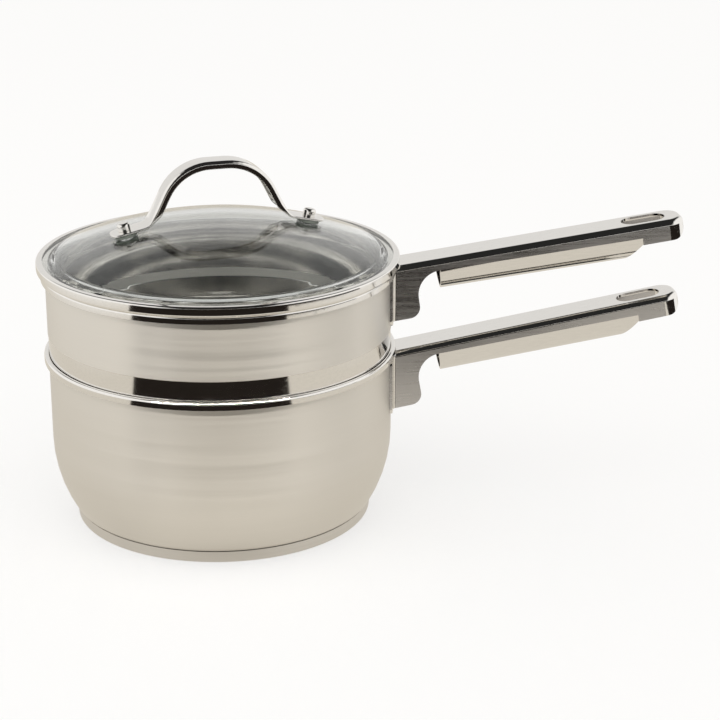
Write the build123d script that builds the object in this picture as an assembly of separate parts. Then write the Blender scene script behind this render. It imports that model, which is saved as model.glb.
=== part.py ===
from build123d import *
import math
import os

# A stainless steel double boiler: a saucepan, a stepped insert that hangs in its mouth, and a glass lid.
# The origin is on the vessels' axis at the underside of the base, +X runs along both handles, +Z is up.
# All lengths are millimetres, all angles degrees.

# Shared by the vessels
mouth_radius = 90.0      # inside of the straight walls
sheet = 0.7              # drawn steel wall
lip_roll = 1.5           # outside radius of the rolled lip
lip_skirt = 2.4          # straight edge that hangs from the roll
seat_gap = 0.3           # left between pieces that lift off each other
weld_gap = 0.05          # left between sheets that are spot-welded
overrun = 4.0            # how far a cutting shape runs past what it cuts

# Saucepan shell
saucepan_height = 92.0   # underside of the base to the crest of the lip
belly_top = 45.0         # height where the wall begins to curve in
belly_radius = 72.0
base_corner = 6.0        # radius between the belly and the flat underside

# Base
core_thickness = 5.0
core_gap = 0.1           # all round the disc, inside the cap
cap_sheet = 0.6
cap_reach = 3.4          # how far the cap stands out past the shell's flat underside
cap_corner = 1.5
groove_gap = 0.15        # between the cap's edge and the shell

# Insert shell
insert_rise = 44.4       # crest of the saucepan's lip to the crest of the insert's lip
bowl_radius = 79.7       # outside of the narrow bowl
bowl_depth = 59.0        # crest of the saucepan's lip to the underside of the bowl
bowl_corner = 14.0
ledge_fillet = 3.0       # between the bowl and the ledge
ledge_corner = 1.5       # where the ledge turns up, the corner that seats on the saucepan
band_height = 11.4       # polished band above the ledge
band_step = 0.3          # the wall above stands this far out from the band

# Lid glass
glass_thickness = 4.0
crown_radius = 233.0
crown_inset = 4.0        # the crown ends this far inside the mouth
knuckle_drop = 2.35      # from the crown's edge to the flat rim
knuckle_width = 2.5
knuckle_round = 5.5
knuckle_hollow = 1.5
glass_edge_round = 1.2
screw_reach = 48.6       # axis of the lid to each screw, where it passes the glass
lid_hole = 7.0           # diameter of the holes in the glass

# Lid rim band
lid_overhang = 5.0       # mouth to the outside of the band
band_sheet = 0.5
band_lip = 3.2           # width of the lip folded over the glass
band_corner = 1.0
glass_fit = 0.3          # round the edge of the glass, inside the band
skirt_inset = 0.7        # mouth to the outside of the skirt
skirt_depth = 6.9        # underside of the band to the hem

# Lid handle
lid_handle_turn = 11.5   # angle from +X to the handle, about +Z
grip_sheet = 1.2
grip_width = 13.5
grip_flange = 4.0        # depth of the side flanges, sheet included
grip_round = 0.8         # along the edges of the outer face
grip_rise = 32.2         # top of the glass to the top of the arch
grip_top = 22.0          # axis of the lid to the corner where a leg would meet the top
grip_bend = 28.0         # largest radius between leg and top
grip_bend_share = 0.85   # most of the half top that a bend may take up
foot_bend = 37.6         # axis of the lid to the corner where a leg meets its foot
foot_bend_radius = 5.0
foot_reach = 57.0        # axis of the lid to the end of the foot
foot_round = 5.0
flange_taper = 9.0       # length along the leg in which the flanges reach their depth
flange_blend = 10.0

# Lid fixings, each stacked square to the glass
seal_diameter = 12.0
upper_seal = 2.0         # thickness
lower_seal = 1.5
hub_gap = 0.2            # round the seal's hub, in the hole of the glass
hub_end_gap = 0.3
washer_diameter = 10.0
washer_thickness = 0.8
screw_diameter = 3.0
screw_fit = 0.1          # round the screw, where it passes through a piece
screw_head = 6.0
screw_head_height = 2.0
screw_head_round = 0.8
nut_diameter = 6.6
nut_height = 4.0
nut_dome = 1.4           # height of the rounded end
nut_bore = 3.0           # depth of the blind hole
nut_end_gap = 0.3

# Folded handles, measured along the handle from the wall and down from its flat top
handle_sheet = 1.2
handle_width = 23.0
handle_length = 157.5
handle_round = 3.0       # along the top edges
nose_round = 9.0
crease_depth = 5.4       # where the wings begin to curl, at the wall
crease_fall = 0.8        # angle at which the crease drops away from the flat top
wing_radius = 14.5
wing_start = 5.0         # angle of the wing to the side wall at the crease
wing_end = 75.0          # and at the slit
wing_lap = 2.0           # how far the wings run up into the side walls
wing_front_round = 4.0
wing_slope = 9.5         # how much sooner the wing ends at the slit than at the tail
tail_length = 24.0       # from the wings' rear end to the tip
plate_reach = 11.3       # length of the deep plates at the wall
plate_toe = 6.0          # radius of their lower corner
plate_throat = 13.0      # radius from the plate up to the crease
tail_depth = 11.0
tail_corner = 6.5
hang_length = 23.5
hang_width = 13.0
hang_inset = 20.75       # middle of the slot to the tip
lip_clearance = 0.35     # between a handle and the lip that it is cut round
tab_width = 9.5          # welded tab, turned outward along the wall
tab_corner = 3.0
tab_bend = 1.4

saucepan_handle_tilt = 10.35
saucepan_handle_drop = 5.0    # crest of the lip to the flat top, at the wall
saucepan_plate_depth = 31.3
insert_handle_tilt = 8.35
insert_handle_drop = 2.25
insert_plate_depth = 29.3
same_share = 1e-4        # two lengths that differ by less than this share count as equal

# Places that follow from the sizes
wall_radius = mouth_radius + sheet
lip_radius = mouth_radius + 2 * lip_roll
saucepan_floor = cap_sheet + core_thickness
insert_height = saucepan_height + insert_rise
lid_seat = insert_height + seat_gap
glass_seat = lid_seat + band_sheet
glass_rim = glass_seat + glass_thickness
band_radius = mouth_radius + lid_overhang
glass_radius = band_radius - band_sheet - glass_fit
crown_edge = mouth_radius - crown_inset
glass_top = glass_rim + knuckle_drop + crown_radius - math.sqrt(crown_radius**2 - crown_edge**2)
foot_lean = math.asin(screw_reach / crown_radius)
skirt_radius = mouth_radius - skirt_inset
wing_rear = handle_length - tail_length
hang_centre = handle_length - hang_inset


def revolved(face):
    """Turn a section drawn as (radius, height) about the vertical axis."""
    return revolve(Plane.XZ * face, Axis.Z, 360)


def post(radius, bottom, height):
    """Upright cylinder about the vertical axis, from `bottom` up."""
    low = (Align.CENTER, Align.CENTER, Align.MIN)
    return Pos(0, 0, bottom) * Cylinder(radius, height, align=low)


def ring(outside, bore, bottom, thickness):
    """Flat ring of the given radii."""
    return post(outside, bottom, thickness) - post(bore, bottom, thickness)


def bent_sheet(line, thickness, side):
    """Section of a sheet that lies on one side of the line of its outer face."""
    return make_face(Wire(line.edges()).offset_2d(thickness, side=side, closed=True).edges())


def rolled_lip(crest):
    """Outer face of the sheet where a wall rolls outward at its crest and hangs as a short skirt."""
    turn = lip_roll - sheet
    centre = Vector(wall_radius + turn, crest - lip_roll)
    roll = CenterArc(centre, turn, 180, -180)
    return roll + Line(roll @ 1, roll @ 1 - Vector(0, lip_skirt))


def base_corner_centre():
    """Centre of the arc between the underside and the belly, which it meets smoothly."""
    height = saucepan_floor + base_corner
    across = math.sqrt((belly_radius - base_corner) ** 2 - (belly_top - height) ** 2)
    return Vector(wall_radius - belly_radius + across, height)


def saucepan_shell():
    corner = base_corner_centre()
    belly = Vector(wall_radius - belly_radius, belly_top)
    meet = math.degrees(math.atan2(corner.Y - belly.Y, corner.X - belly.X))
    line = Line((0, saucepan_floor), (corner.X, saucepan_floor))
    line += CenterArc(corner, base_corner, -90, 90 + meet)
    line += CenterArc(belly, belly_radius, meet, -meet)
    line += Line((wall_radius, belly_top), (wall_radius, saucepan_height - lip_roll))
    line += rolled_lip(saucepan_height)
    return revolved(bent_sheet(line, sheet, Side.LEFT))


def base_cap():
    corner = base_corner_centre()
    radius = corner.X + cap_reach
    rim_inside = cap_reach - cap_sheet
    rim = corner.Y - math.sqrt(base_corner**2 - rim_inside**2) - groove_gap
    line = FilletPolyline((0, 0), (radius, 0), (radius, rim), radius=cap_corner)
    return revolved(bent_sheet(line, cap_sheet, Side.LEFT))


def base_core_disc():
    radius = base_corner_centre().X + cap_reach - cap_sheet - core_gap
    disc = post(radius, cap_sheet, core_thickness)
    return fillet(disc.edges().group_by(Axis.Z)[0], cap_corner - cap_sheet + core_gap)


def insert_shell():
    band = wall_radius - band_step
    across = lip_roll - sheet + band_step + ledge_corner
    apart = lip_roll + ledge_corner + seat_gap
    ledge = saucepan_height - lip_roll + math.sqrt(apart**2 - across**2) - ledge_corner
    step = ledge + band_height
    bottom = saucepan_height - bowl_depth
    line = FilletPolyline(
        (0, bottom),
        (bowl_radius, bottom),
        (bowl_radius, ledge),
        (band, ledge),
        (band, step - band_step),
        (wall_radius, step),
        (wall_radius, insert_height - lip_roll),
        radius=(bowl_corner, ledge_fillet, ledge_corner, 0, 0),
    )
    line += rolled_lip(insert_height)
    return revolved(bent_sheet(line, sheet, Side.LEFT))


def crown_height(reach):
    """Height of the glass's top face at a distance from the lid's axis."""
    return glass_top - crown_radius + math.sqrt(crown_radius**2 - reach**2)


def square_to_glass(side):
    """Place on top of the glass at the left (-1) or right (+1) screw, with Z square to the glass."""
    turn = Rot(0, 0, lid_handle_turn)
    at_screw = Pos(side * screw_reach, 0, crown_height(screw_reach))
    return turn * at_screw * Rot(0, side * math.degrees(foot_lean), 0)


def inward(start, end):
    """Unit normal on the left of a straight stretch."""
    along = (end - start).normalized()
    return Vector(-along.Y, along.X)


def mitred(corner, before, after, depth):
    """Corner moved in by a depth from both of the stretches that meet there."""
    return corner + (before + after) * (depth / (1 + before.dot(after)))


def glass_corners(depth):
    """End of the crown, foot of the knuckle and edge of the rim, on the face at a depth in the glass."""
    centre = Vector(0, glass_top - crown_radius)
    end = Vector(crown_edge, glass_rim + knuckle_drop)
    foot = Vector(crown_edge + knuckle_width, glass_rim)
    knuckle_side = inward(foot, end)
    return (
        mitred(end, (centre - end).normalized(), knuckle_side, depth),
        mitred(foot, knuckle_side, Vector(0, -1), depth),
        Vector(glass_radius, glass_rim - depth),
    )


def lid_glass():
    end, foot, edge = glass_corners(0)
    low_end, low_foot, low_edge = glass_corners(glass_thickness)
    apex = Vector(0, glass_top)
    low_apex = Vector(0, glass_top - glass_thickness)
    outline = TangentArc(apex, end, tangent=(1, 0))
    outline += Polyline(end, foot, edge, low_edge, low_foot, low_end)
    outline += TangentArc(low_apex, low_end, tangent=(1, 0))
    outline += Line(low_apex, apex)
    section = make_face(outline)
    roundings = (
        (end, knuckle_round),
        (foot, knuckle_hollow),
        (low_end, knuckle_round - glass_thickness),
        (low_foot, knuckle_hollow + glass_thickness),
        (edge, glass_edge_round),
        (low_edge, glass_edge_round),
    )
    for corner, radius in roundings:
        nearest = section.vertices().sort_by_distance(corner)[0]
        section = fillet(nearest, radius)
    glass = revolved(section)
    for side in (-1, 1):
        glass -= square_to_glass(side) * Cylinder(lid_hole / 2, 2 * (glass_thickness + overrun))
    return glass


def lid_rim_band():
    """A channel round the edge of the glass, with a hemmed skirt of two plies that drops into the insert."""
    line = FilletPolyline(
        (band_radius - band_lip, glass_rim + band_sheet),
        (band_radius, glass_rim + band_sheet),
        (band_radius, lid_seat),
        (skirt_radius, lid_seat),
        radius=band_corner,
    )
    channel = bent_sheet(line, band_sheet, Side.RIGHT)
    hem = lid_seat - skirt_depth + band_sheet
    middle = skirt_radius - band_sheet
    skirt = Line((skirt_radius, hem), (skirt_radius, glass_seat))
    skirt += Line((skirt_radius, glass_seat), (skirt_radius - 2 * band_sheet, glass_seat))
    skirt += Line((skirt_radius - 2 * band_sheet, glass_seat), (skirt_radius - 2 * band_sheet, hem))
    skirt += CenterArc((middle, hem), band_sheet, 180, 180)
    return revolved(channel + make_face(skirt))


def foot_line(reach, level):
    """Point at `reach` from the lid's axis on the line `level` above the glass, square to the screw."""
    square = Vector(math.sin(foot_lean), math.cos(foot_lean))
    at_screw = Vector(screw_reach, crown_height(screw_reach)) + square * level
    return Vector(reach, at_screw.Y - (reach - at_screw.X) * math.tan(foot_lean))


def arch_corners():
    """Corners of the arch's outer face on the right: a point past the foot's end, foot bend and top."""
    foot_top = upper_seal + grip_sheet
    end = foot_line(foot_reach + overrun, foot_top)
    bend = foot_line(foot_bend, foot_top)
    return end, bend, Vector(grip_top, glass_top + grip_rise)


def mirrored(points):
    """The points, then the same points on the other side of the axis, back to front."""
    return points + [Vector(-point.X, point.Y) for point in reversed(points)]


def both_ways(radii):
    return radii + radii[::-1]


def top_bend():
    """Radius of the arch's outer face between leg and top, as far as the top's width allows."""
    end, bend, top = arch_corners()
    turn = math.atan2(top.Y - bend.Y, bend.X - top.X)
    return min(grip_bend, grip_bend_share * grip_top / math.tan(turn / 2))


def arch_outline():
    """Area under the outer face of the arch, down to well below the feet."""
    end, bend, top = arch_corners()
    below = Vector(end.X, end.Y - grip_rise)
    radii = [0, 0, foot_bend_radius, top_bend()]
    points = mirrored([below, end, bend, top])
    return make_face(FilletPolyline(*points, radius=both_ways(radii), close=True))


def arch_hollow(depth, taper):
    """Area under the arch at a depth from its outer face, reached along the leg after a taper."""
    end, bend, top = arch_corners()
    foot_side = inward(end, bend)
    leg_side = inward(bend, top)
    outer_end = foot_line(foot_reach + 2 * overrun, upper_seal)
    points = [Vector(outer_end.X, outer_end.Y - 2 * grip_rise), outer_end]
    points.append(mitred(bend, foot_side, leg_side, grip_sheet))
    radii = [0, 0, foot_bend_radius + grip_sheet]
    if taper:
        points.append(bend + (top - bend).normalized() * taper + leg_side * depth)
        radii.append(flange_blend)
    points.append(mitred(top, leg_side, inward(top, Vector(-top.X, top.Y)), depth))
    radii.append(top_bend() - depth)
    return make_face(FilletPolyline(*mirrored(points), radius=both_ways(radii), close=True))


def lid_handle():
    """Strap of sheet bent into an arch, with side flanges that fade out into two flat feet."""
    plan = RectangleRounded(2 * foot_reach, grip_width, foot_round)
    solid = extrude(Plane.XZ * arch_outline(), grip_width, both=True)
    solid &= extrude(plan, glass_top + 2 * grip_rise)
    solid = fillet(outer_edges(solid), grip_round)
    solid -= extrude(Plane.XZ * arch_hollow(grip_flange, flange_taper), grip_width, both=True)
    between = grip_width / 2 - grip_sheet
    solid -= extrude(Plane.XZ * arch_hollow(grip_sheet, 0), between, both=True)
    strap = Rot(0, 0, lid_handle_turn) * solid
    for side in (-1, 1):
        bore = Cylinder(screw_diameter / 2 + screw_fit, 2 * (upper_seal + grip_sheet + overrun))
        strap -= square_to_glass(side) * bore
    return strap


def outer_edges(solid):
    """Edges round the arch's outer face, which is all that faces upward."""
    upper = solid.faces().filter_by(lambda face: face.normal_at().Z > same_share)
    return upper.edges().filter_by(lambda edge: not is_across(edge))


def is_across(edge):
    """True on the straight edges that run across the strap between two stretches of its outer face."""
    return abs(edge.tangent_at(0).Y) > 1 - same_share and edge.geom_type == GeomType.LINE


def lid_fixing(side):
    """The five pieces that clamp one foot of the handle to the glass, from the top down."""
    bore = screw_diameter / 2 + screw_fit
    seal = seal_diameter / 2
    inner = crown_radius - glass_thickness
    glass_bottom = -glass_thickness - (inner - math.sqrt(inner**2 - seal**2))
    washer_bottom = glass_bottom - lower_seal - washer_thickness
    foot_top = upper_seal + grip_sheet

    nut = post(nut_diameter / 2, foot_top, nut_height)
    nut = fillet(nut.edges().group_by(Axis.Z)[-1], nut_dome)
    nut -= post(bore, foot_top, nut_bore)
    hub = glass_thickness - hub_end_gap
    upper = ring(seal, bore, 0, upper_seal) + ring(lid_hole / 2 - hub_gap, bore, -hub, hub)
    lower = ring(seal, bore, glass_bottom - lower_seal, lower_seal)
    washer = ring(washer_diameter / 2, bore, washer_bottom, washer_thickness)
    head = post(screw_head / 2, washer_bottom - screw_head_height, screw_head_height)
    head = fillet(head.edges().group_by(Axis.Z)[0], screw_head_round)
    shank = foot_top + nut_bore - nut_end_gap - washer_bottom
    screw = head + post(screw_diameter / 2, washer_bottom, shank)
    pieces = {
        "cap_nut": nut,
        "upper_seal": upper,
        "lower_seal": lower,
        "washer": washer,
        "lid_screw": screw,
    }
    return {name: square_to_glass(side) * piece for name, piece in pieces.items()}


def handle_tray(root, depth):
    """Flat-topped tray, open below, with a rounded nose. It starts at -root, inside the vessel."""
    def block(inset):
        length = handle_length - inset
        width = handle_width / 2 - inset
        outline = FilletPolyline(
            (-root, -width), (length, -width), (length, width), (-root, width),
            radius=(0, nose_round - inset, nose_round - inset, 0), close=True,
        )
        solid = extrude(make_face(outline), -depth)
        rim = solid.edges().group_by(Axis.Z)[-1]
        rim = rim.filter_by(lambda edge: edge.center().X > -root + overrun / 2)
        return Pos(0, 0, -inset) * fillet(rim, handle_round - inset)
    return block(0) - block(handle_sheet)


def crease_level(reach):
    """Height of the crease at a distance from the wall, below the flat top."""
    return -crease_depth - reach * math.tan(math.radians(crease_fall))


def handle_side(root, plate_depth):
    """Side view of the folded sheet without its wings: deep plate at the wall, crease, and tail."""
    outline = FilletPolyline(
        (-root, handle_round),
        (-root, -plate_depth),
        (plate_reach, -plate_depth),
        (plate_reach, crease_level(plate_reach)),
        (wing_rear, crease_level(wing_rear)),
        (wing_rear, -tail_depth),
        (handle_length, -tail_depth),
        (handle_length, handle_round),
        radius=(0, 0, plate_toe, plate_throat, 0, 0, tail_corner, 0), close=True,
    )
    return extrude(Plane.XZ * make_face(outline), handle_width, both=True)


def handle_wings():
    """The two long edges of the sheet, curled in under the handle until a narrow slit is left."""
    start = math.radians(wing_start)
    middle = Vector(handle_width / 2 - wing_radius * math.cos(start), wing_radius * math.sin(start))
    curl = CenterArc(middle, wing_radius, -wing_start, wing_start - wing_end)
    section = bent_sheet(Line((handle_width / 2, wing_lap), curl @ 0) + curl, handle_sheet, Side.RIGHT)
    section += mirror(section, Plane.YZ)
    wings = extrude(Plane.YZ * section, wing_rear + overrun)
    wings = Pos(0, 0, -crease_depth) * Rot(0, crease_fall, 0) * wings

    front = plate_reach + plate_throat
    slit = crease_level(wing_rear) + (curl @ 1).Y
    slope = wing_slope / (-tail_depth - slit)
    low = slit - overrun
    side = FilletPolyline(
        (front, crease_level(front) + wing_lap),
        (wing_rear, crease_level(wing_rear) + wing_lap),
        (wing_rear, -tail_depth),
        (wing_rear - slope * (-tail_depth - low), low),
        (front, low),
        radius=(wing_front_round, 0, 0, 0, 0), close=True,
    )
    return wings & extrude(Plane.XZ * make_face(side), handle_width, both=True)


def folded_handle(tilt, crest, drop, plate_depth):
    """Handle folded from one sheet, rising outward, spot-welded to a vessel by two tabs."""
    root = plate_depth * math.tan(math.radians(tilt)) + overrun
    sheet_metal = handle_tray(root, plate_depth + overrun) & handle_side(root, plate_depth)
    sheet_metal += handle_wings()
    slot = extrude(SlotOverall(hang_length, hang_width), overrun, both=True)
    sheet_metal -= Pos(hang_centre, 0, 0) * slot
    handle = Pos(wall_radius, 0, crest - drop) * Rot(0, -tilt, 0) * sheet_metal

    weld = wall_radius + weld_gap
    skirt_end = crest - lip_roll - lip_skirt
    tab_top = min(skirt_end, crest - drop - handle_sheet) - lip_clearance
    low = crest - drop - plate_depth / math.cos(math.radians(tilt))
    tall = crest + overrun - low
    handle -= post(weld, low - overrun, tall + overrun)
    handle -= post(lip_radius + lip_clearance, tab_top, tall)
    handle += weld_tabs(low, tab_top)
    bends = handle.edges().filter_by(Axis.Z).filter_by(lambda edge: is_tab_bend(edge.center()))
    return fillet(bends, tab_bend)


def is_tab_bend(point):
    """True on the inner corner between a deep plate's outer side and the outer face of its tab."""
    on_plate = math.isclose(abs(point.Y), handle_width / 2, rel_tol=same_share)
    tab_face = wall_radius + weld_gap + handle_sheet
    return on_plate and math.isclose(math.hypot(point.X, point.Y), tab_face, rel_tol=same_share)


def weld_tabs(low, high):
    """Tabs turned outward from the deep plates along the wall, one on each side."""
    inner = handle_width / 2 - handle_sheet
    outer = handle_width / 2 + tab_width
    outline = FilletPolyline(
        (inner, low), (outer, low), (outer, high), (inner, high),
        radius=(0, tab_corner, tab_corner, 0), close=True,
    )
    face = make_face(outline)
    block = extrude(Plane.YZ * (face + mirror(face, Plane.YZ)), lip_radius)
    weld = wall_radius + weld_gap
    return block & ring(weld + handle_sheet, weld, low, high - low)


def saucepan_handle():
    return folded_handle(
        saucepan_handle_tilt, saucepan_height, saucepan_handle_drop, saucepan_plate_depth
    )


def insert_handle():
    return folded_handle(
        insert_handle_tilt, insert_height, insert_handle_drop, insert_plate_depth
    )


pieces = {
    "saucepan_shell": saucepan_shell(),
    "base_core_disc": base_core_disc(),
    "base_cap": base_cap(),
    "saucepan_handle": saucepan_handle(),
    "insert_shell": insert_shell(),
    "insert_handle": insert_handle(),
    "lid_glass": lid_glass(),
    "lid_rim_band": lid_rim_band(),
    "lid_handle": lid_handle(),
}
for hand, side in (("left", -1), ("right", 1)):
    for name, piece in lid_fixing(side).items():
        pieces[f"{hand}_{name}"] = piece

os.makedirs("parts", exist_ok=True)
for name, piece in pieces.items():
    export_step(piece, f"parts/{name}.step")
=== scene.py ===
import math

import bmesh
import bpy
from bpy.props import FloatProperty, FloatVectorProperty, IntProperty, PointerProperty
from mathutils import Matrix, Vector


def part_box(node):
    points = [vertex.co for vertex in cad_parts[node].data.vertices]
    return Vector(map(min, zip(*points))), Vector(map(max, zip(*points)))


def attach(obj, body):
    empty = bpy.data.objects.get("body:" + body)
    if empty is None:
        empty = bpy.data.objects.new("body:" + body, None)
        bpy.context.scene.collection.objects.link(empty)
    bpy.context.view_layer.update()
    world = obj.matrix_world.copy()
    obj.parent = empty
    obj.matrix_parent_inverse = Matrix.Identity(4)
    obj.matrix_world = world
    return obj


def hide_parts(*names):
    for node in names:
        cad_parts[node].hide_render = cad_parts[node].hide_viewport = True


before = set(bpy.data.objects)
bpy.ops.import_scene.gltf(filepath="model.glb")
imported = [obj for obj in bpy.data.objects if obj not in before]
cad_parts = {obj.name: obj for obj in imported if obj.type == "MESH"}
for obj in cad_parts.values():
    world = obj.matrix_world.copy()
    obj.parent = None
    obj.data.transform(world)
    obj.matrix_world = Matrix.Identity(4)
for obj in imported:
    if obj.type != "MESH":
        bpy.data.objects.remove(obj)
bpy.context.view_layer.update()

bl_info = {
    "name": "Double boiler",
    "version": (1, 0, 0),
    "blender": (4, 5, 0),
    "location": "3D View > Sidebar > Double boiler",
    "description": "A stainless saucepan, the stepped insert that hangs in its mouth, and a glass lid",
    "category": "Object",
}

# model.glb gives the places, in metres, with the base's underside at z = 0 and the handles along +X.
PAN_LOW, PAN_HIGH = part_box("saucepan_shell")
INSERT_LOW, INSERT_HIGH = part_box("insert_shell")
GLASS_LOW, GLASS_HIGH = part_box("lid_glass")
BAND_LOW, BAND_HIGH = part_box("lid_rim_band")
CAP_LOW, CAP_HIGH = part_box("base_cap")

ARC_STEP = math.radians(6)
MERGE = 1e-6
SHARP = math.radians(32)

# Folded handles: the imported mesh is merged, its cut edges are rounded, and the flat sides face along Y
HANDLE_MERGE = 0.000002
HANDLE_DISSOLVE = math.radians(0.6)
CUT_EDGE = 0.00018
CUT_ANGLE = math.radians(40)
FLAT_SIDE = 0.999

# Lid handle: spacing of its sections, and shares of its sheet's thickness
STRAP_STEP = 0.0008
MOST_BEND = 0.85
HEM_SHARE = 0.35
FOOT_EDGE_SHARE = 0.3
INNER_FILLET = 0.0004

# Where the studio's lights fade, as parts of a unit direction (up is 1 overhead)
BEHIND_AHEAD, BEHIND_UP = (-0.1, 0.3), (0.42, 0.60)
SIDES_ACROSS, SIDES_UP = (0.42, 0.62), (0.82, 0.95)
INNER_ACROSS, INNER_UP = (0.05, 0.25), (0.66, 0.84)

# Floor, cards and lamps
# Sideways reach over which the floor's painted shade by the vessels, as steel reflects it, fades to white
FLOOR_SHADE_FADE = (0.32, 0.75)
PAPER = (0.93, 0.925, 0.915)
WARM_WHITE = (1.0, 0.985, 0.96)
WHITE = (1.0, 1.0, 1.0)
CARD_BLACK = (0.016, 0.013, 0.011)
CARD_HEIGHT = 0.0006
SIDE_CARD_SPREAD = 2.2
LAMP_TARGET = (0, 0, 0.08)
KEY_PLACE, KEY_SIZE = (-0.6, -0.5, 1.9), (1.6, 1.6)
FRONT_PLACE, FRONT_SIZE, FRONT_TINT = (-0.05, -1.0, 1.5), (2.4, 0.05), (1.0, 0.955, 0.88)

# Which finish a stretch of a turned section has
WALL, POLISHED, INSIDE = 0, 1, 2


def length(name, description, default):
    """A size that a user can change, in metres."""
    return FloatProperty(name=name, description=description, default=default, precision=5, unit="LENGTH")


def angle(name, description, degrees):
    """An angle that a user can change."""
    return FloatProperty(name=name, description=description, default=math.radians(degrees), subtype="ANGLE")


def share(name, description, default):
    """A share from 0 to 1 that a user can change."""
    return FloatProperty(
        name=name, description=description, default=default, min=0.0, max=1.0, subtype="FACTOR")


def colour(name, description, default):
    """A surface colour that a user can change, in linear light."""
    return FloatVectorProperty(name=name, description=description, default=default, size=3, subtype="COLOR")


class VesselSizes(bpy.types.PropertyGroup):
    """Sizes of the saucepan, its base and the insert."""

    sheet: length("Sheet", "Thickness of the drawn steel wall", 0.0007)
    lip_roll: length("Lip roll", "Outside radius of the rolled lips", 0.0015)
    lip_skirt: length("Lip skirt", "Straight edge that hangs from a rolled lip", 0.0024)
    seat_gap: length("Seat gap", "Left between pieces that lift off each other", 0.0003)
    belly_top: length("Belly top", "Height where the saucepan's wall begins to curve in", 0.045)
    belly_radius: length("Belly radius", "Radius of the curve below the straight wall", 0.072)
    base_corner: length("Base corner", "Radius between the belly and the flat underside", 0.006)
    cap_sheet: length("Cap sheet", "Thickness of the base cap", 0.0006)
    cap_corner: length("Cap corner", "Radius at the foot of the base cap", 0.0015)
    bowl_radius: length("Bowl radius", "Outside of the insert's narrow bowl", 0.0797)
    bowl_corner: length("Bowl corner", "Radius at the bottom of the bowl", 0.014)
    ledge_fillet: length("Ledge fillet", "Radius between the bowl and the ledge", 0.003)
    ledge_corner: length("Ledge corner", "Radius that seats on the saucepan's lip", 0.0015)
    band_height: length("Band height", "Polished band above the ledge", 0.0114)
    band_step: length("Band step", "How far the wall above stands out from the band", 0.0003)
    brushed_from: length("Brushed from", "Height where the insert's brushed inside ends", 0.1077)
    segments: IntProperty(name="Segments", description="Faces round each turned piece", default=192, min=24)


class LidSizes(bpy.types.PropertyGroup):
    """Sizes of the glass, its steel band and the arched handle."""

    glass: length("Glass", "Thickness of the glass", 0.004)
    crown_radius: length("Crown radius", "Radius of the domed top", 0.233)
    crown_inset: length("Crown inset", "The dome ends this far inside the mouth", 0.004)
    knuckle_drop: length("Knuckle drop", "From the dome's edge down to the flat rim", 0.00235)
    knuckle_width: length("Knuckle width", "Width of the step from dome to rim", 0.0025)
    knuckle_round: length("Knuckle round", "Radius on top of the step", 0.0055)
    knuckle_hollow: length("Knuckle hollow", "Radius at the foot of the step", 0.0015)
    glass_edge: length("Glass edge", "Radius along the ground edge", 0.0012)
    hole: length("Hole", "Diameter of the two drilled holes", 0.007)
    band_sheet: length("Band sheet", "Thickness of the steel band", 0.0005)
    band_lip: length("Band lip", "Width of the lip folded over the glass", 0.0032)
    band_corner: length("Band corner", "Radius of the band's two outer corners", 0.001)
    skirt_inset: length("Skirt inset", "Mouth to the outside of the skirt", 0.0007)
    skirt_depth: length("Skirt depth", "Underside of the band to the hem", 0.0069)
    turn: angle("Handle turn", "Angle from +X to the lid handle", 11.5)
    screw_reach: length("Screw reach", "Axis of the lid to each screw", 0.0486)
    grip_sheet: length("Grip sheet", "Thickness of the strap", 0.0012)
    grip_width: length("Grip width", "Width of the strap", 0.0135)
    grip_flange: length("Grip flange", "Depth of the strap's side flanges", 0.004)
    grip_round: length("Grip round", "Radius along the strap's outer edges", 0.0017)
    grip_rise: length("Grip rise", "Top of the glass to the top of the arch", 0.0322)
    grip_top: length("Grip top", "Axis to the corner between leg and top", 0.022)
    grip_bend: length("Grip bend", "Radius between leg and top", 0.028)
    foot_bend: length("Foot bend", "Axis to the corner between leg and foot", 0.0376)
    foot_radius: length("Foot radius", "Radius between leg and foot", 0.005)
    foot_reach: length("Foot reach", "Axis to the end of a foot", 0.057)
    foot_round: length("Foot round", "Radius of a foot's corners, seen from above", 0.005)
    taper: length("Taper", "Length in which the flanges fade out", 0.009)
    seal_diameter: length("Seal diameter", "Diameter of the silicone pads", 0.012)
    upper_seal: length("Upper seal", "Thickness of the pad under a foot", 0.002)
    lower_seal: length("Lower seal", "Thickness of the pad under the glass", 0.0015)
    washer_diameter: length("Washer diameter", "Diameter of the steel washers", 0.01)
    washer: length("Washer", "Thickness of the steel washers", 0.0008)
    screw_diameter: length("Screw diameter", "Diameter of the screws", 0.003)
    screw_head: length("Screw head", "Diameter of the screw heads", 0.006)
    head_height: length("Head height", "Height of the screw heads", 0.002)
    nut_diameter: length("Nut diameter", "Diameter of the barrel nuts", 0.0066)
    nut_height: length("Nut height", "Height of the barrel nuts", 0.0040)
    nut_dome: length("Nut dome", "Radius of a nut's rounded end", 0.0014)


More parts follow.
